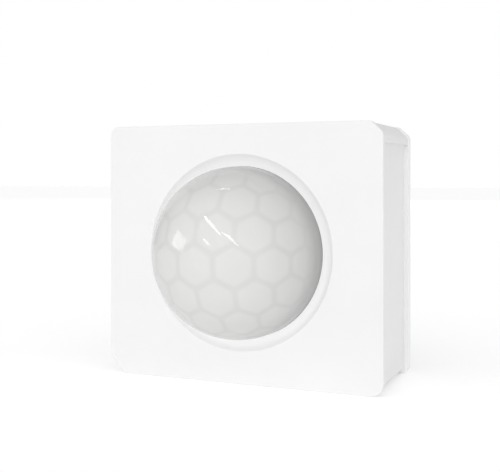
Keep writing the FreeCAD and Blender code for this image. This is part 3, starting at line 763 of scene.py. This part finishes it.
# ---- cell mark, foam pad and its liner ----
PLUS_UP = 6.0 * MM                      # from the middle of the cell
PLUS_ARM = 1.7 * MM
PLUS_HALF = 0.3 * MM
PLUS_PROUD = 0.04 * MM
PAD_CORNER = 3.0 * MM
PAD_STEPS = 12                          # of each quarter circle
PAD_EDGE = ((0, 0.06), (0.25, 0.0), (0.5, 0.12), (0.75, 0.0), (1, 0.06))    # (share of depth, mm drawn in)
TAB_HALF = 3.5 * MM
TAB_CORNER = 1.0 * MM
SLIT_HALF = 0.08 * MM                   # the liner is slit in two so that it peels
SLIT_WAVE = 1.1 * MM
SLIT_LENGTH = 7.5 * MM
SLIT_STEPS = 60


def build_plus(metal):
    """Raised plus near the edge of the cell's flat end."""
    bm = bmesh.new()
    across, up = (cell_low.x + cell_high.x) / 2, (cell_low.z + cell_high.z) / 2 + PLUS_UP
    quarter = ((PLUS_ARM, PLUS_HALF), (PLUS_HALF, PLUS_HALF), (PLUS_HALF, PLUS_ARM))
    outline = []
    for turn in range(4):
        angle = turn * math.pi / 2
        for x, z in quarter:
            outline.append((across + x * math.cos(angle) - z * math.sin(angle),
                            up + x * math.sin(angle) + z * math.cos(angle)))
    add_slab(bm, outline, cell_high.y - PLUS_PROUD, cell_high.y + PLUS_PROUD)
    add_piece("cell_plus_mark", mesh_from(bm, "cell_plus_mark"), [metal], "housing", "steel")


def corner_arc(quarter, centre, radius):
    """Quarter of a circle as (across, up) points; quarter 0 is the upper right, then anticlockwise."""
    angles = [math.pi / 2 * (quarter + step / PAD_STEPS) for step in range(PAD_STEPS + 1)]
    return [(centre[0] + radius * math.cos(a), centre[1] + radius * math.sin(a)) for a in angles]


def pad_corners(inset):
    """The four corner arcs of the pad's outline, moved in by inset."""
    low, high = pad_low, pad_high
    centres = ((high.x - PAD_CORNER, high.z - PAD_CORNER), (low.x + PAD_CORNER, high.z - PAD_CORNER),
               (low.x + PAD_CORNER, low.z + PAD_CORNER), (high.x - PAD_CORNER, low.z + PAD_CORNER))
    return [corner_arc(quarter, centre, PAD_CORNER - inset) for quarter, centre in enumerate(centres)]


def build_pad(material):
    """Foam pad: flat on both faces, its cut edge slightly drawn in at the middle and at both faces."""
    low, high = pad_low, pad_high
    thick = high.y - low.y
    bm = bmesh.new()
    rings = []
    for share, inset in PAD_EDGE:
        outline = sum(pad_corners(inset * MM), [])
        rings.append([bm.verts.new((x, low.y + thick * share, z)) for x, z in outline])
    bm.faces.new(rings[0])
    bm.faces.new(rings[-1][::-1])
    count = len(rings[0])
    for near, far in zip(rings, rings[1:]):
        for i in range(count):
            j = (i + 1) % count
            bm.faces.new((near[j], near[i], far[i], far[j]))
    pad = add_piece("foam_pad", mesh_from(bm, "foam_pad"), [material], "rear", "pad_foam", "adhesive_pad")


def outline_area(outline):
    """Area inside a closed outline of (across, up) points."""
    pairs = zip(outline, outline[1:] + outline[:1])
    return abs(sum(x0 * z1 - x1 * z0 for (x0, z0), (x1, z1) in pairs)) / 2


def build_liner(material):
    """Paper liner in two halves that meet at a wavy slit, with a pull tab under the lower half."""
    upper_right, upper_left, lower_left, lower_right = pad_corners(0)
    middle = (pad_low.z + pad_high.z) / 2
    run = [pad_low.x + (pad_high.x - pad_low.x) * step / SLIT_STEPS for step in range(SLIT_STEPS + 1)]
    slit = [(x, middle + SLIT_WAVE * math.sin(2 * math.pi * x / SLIT_LENGTH)) for x in run]
    above = [(x, z + SLIT_HALF) for x, z in slit]
    below = [(x, z - SLIT_HALF) for x, z in slit]
    tab_bottom = liner_low.z + TAB_CORNER
    tab = [(-TAB_HALF, pad_low.z)]
    tab += corner_arc(2, (-TAB_HALF + TAB_CORNER, tab_bottom), TAB_CORNER)
    tab += corner_arc(3, (TAB_HALF - TAB_CORNER, tab_bottom), TAB_CORNER)
    tab += [(TAB_HALF, pad_low.z)]
    halves = [upper_right + upper_left + above, lower_left + tab + lower_right + below[::-1]]
    bm = bmesh.new()
    for outline in halves:
        add_slab(bm, outline, liner_low.y, liner_high.y)
    liner = add_piece("paper_liner", mesh_from(bm, "paper_liner"), [material], "rear", "liner_paper",
                      "release_liner")
    sum(map(outline_area, halves))


# ---- put it together ----
add_camera()
add_world(level=0.77, key=0.65, key_place=(10, 5))
add_lamp("upper_right_softbox", turn=60, rise=65, far=1.0, size=(0.5, 0.5), glow=0.14)
add_lamp("rear_fill", turn=180, rise=20, far=1.0, size=(1.0, 1.0), glow=0.4)
add_glints()
add_floor(half=3)

lens = add_piece("faceted_lens", build_lens(), [lens_material()], "housing", "lens_plastic", "fresnel_lens")
lens.visible_shadow = False             # milky plastic: daylight reaches the dish through it
lens.visible_diffuse = False

dress(moulded("cover_white", (0.8, 0.8, 0.8), 0.45), "front_cover")
# painted light: the rear cover is a lighter copy of the front cover's white, to brighten its ledge in the
# shaded side channel
dress(moulded("rear_white", (0.88, 0.88, 0.88), 0.45), "rear_cover")

black = moulded("black_plastic", (0.02, 0.02, 0.022), 0.5, 0.08 * MM)
button = moulded("button_plastic", (0.09, 0.09, 0.1), 0.42)
inner_white = moulded("inner_plastic", (0.66, 0.66, 0.64), 0.5, 0.2 * MM, 0.006 * MM)
nickel = plated("nickel_plate", (0.62, 0.6, 0.57), 0.28, (1, 1, 6))
screw_steel = plated("screw_steel", (0.5, 0.5, 0.5), 0.3, grain=0.1 * MM)
spring = plated("spring_strip", (0.66, 0.6, 0.5), 0.25, (6, 1, 1))
tin = plated("tinned_ends", (0.6, 0.61, 0.62), 0.34, grain=0.08 * MM, depth=0.004 * MM)
cell_steel = turned_metal("cell_steel", (0.62, 0.62, 0.61), 0.24, ((cell_low + cell_high) / 2))
dress(black, "pir_amplifier", "radio_chip", "pairing_switch", "tamper_switch", "coin_cell_seal")
dress(button, "pairing_button", "tamper_plunger")
dress(inner_white, "lens_retainer", "battery_holder")
dress(nickel, "pir_header", "pir_leads", "pir_can", "radio_shield")
dress(screw_steel, "board_screws")
dress(spring, "positive_contact", "negative_contact")
dress(cell_steel, "coin_cell_can", "coin_cell_cap")
dress(moulded("silicon_window", (0.03, 0.03, 0.04), 0.12, 0.3 * MM, 0.001 * MM), "pir_window")
dress(moulded("fired_ceramic", (0.62, 0.58, 0.5), 0.6), "pir_element", "coin_cell_core")
dress(moulded("led_resin", (0.82, 0.78, 0.55), 0.2), "status_led")
dress(laminate(), "circuit_board")

white_print = moulded("white_print", (0.72, 0.73, 0.7), 0.6, 0.05 * MM)
build_tracks(moulded("masked_copper", (0.03, 0.2, 0.075), 0.3, 0.1 * MM))
build_pads(tin)
build_print(white_print)
build_crystal(moulded("crystal_tray", (0.12, 0.11, 0.1), 0.5), nickel)
brown_ceramic = moulded("capacitor_ceramic", (0.42, 0.3, 0.18), 0.45)
build_chips("capacitor_chips", "chip_capacitors", "ceramic_body", brown_ceramic, tin)
build_chips("resistor_chips", "chip_resistors", "black_plastic", black, tin)
blue_ceramic = moulded("antenna_ceramic", (0.5, 0.58, 0.66), 0.4)
build_chips("antenna_chip", "chip_antenna", "ceramic_body", blue_ceramic, tin)
tantalum = moulded("tantalum_case", (0.62, 0.4, 0.07), 0.4)
dark_band = moulded("tantalum_mark", (0.16, 0.07, 0.03), 0.5)
build_chips("tantalum_chip", "reservoir_capacitor", "capacitor_body", tantalum, tin, dark_band)
build_plus(plated("cell_mark", (0.33, 0.33, 0.33), 0.45))
build_pad(foam())
build_liner(paper())

bpy.context.scene.view_settings.view_transform = "Standard"
